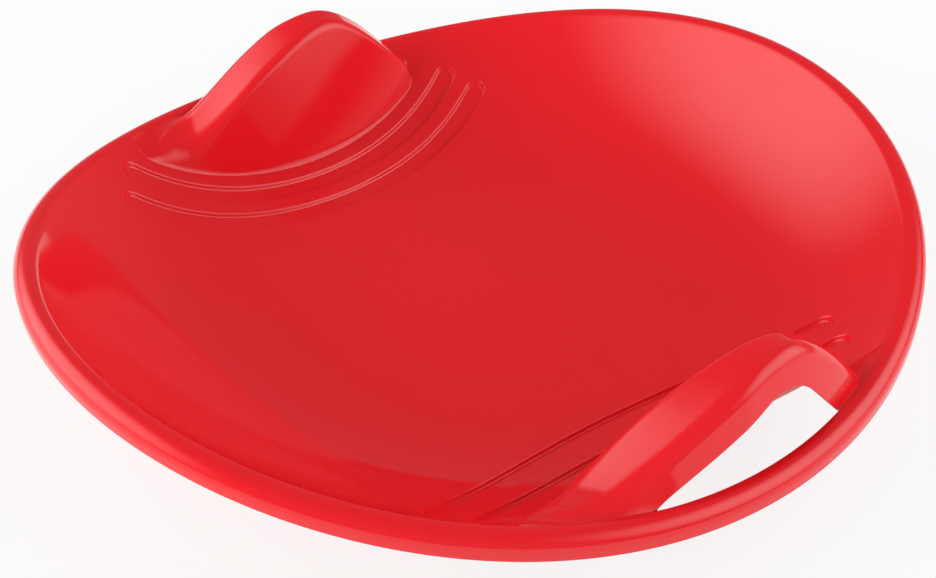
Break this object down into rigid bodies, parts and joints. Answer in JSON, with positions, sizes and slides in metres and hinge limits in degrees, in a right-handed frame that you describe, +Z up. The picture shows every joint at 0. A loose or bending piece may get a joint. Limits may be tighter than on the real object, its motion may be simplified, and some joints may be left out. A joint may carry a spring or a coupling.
{
  "type": "saucer sled",
  "caption": "Round moulded snow saucer: a shallow saddle-shaped dish with a rolled rim, raised hollow side handles with finger windows, and arc-shaped grip grooves.",
  "frame": {"origin": "middle of the small flat on the underside that the sled stands on, at floor level", "axes": "+Z up; the handles are at +X and -X; the sled slides along Y, with the steep ends of the handles towards +Y"},
  "size_m": [0.6, 0.6, 0.1146],
  "materials": {
    "red_plastic": "smooth glossy moulded polyethylene, red all through"
  },
  "bodies": {
    "root": {"dish_pan": "red_plastic", "rolled_rim": "red_plastic", "right_handle": "red_plastic", "left_handle": "red_plastic"}
  },
  "joints": []
}
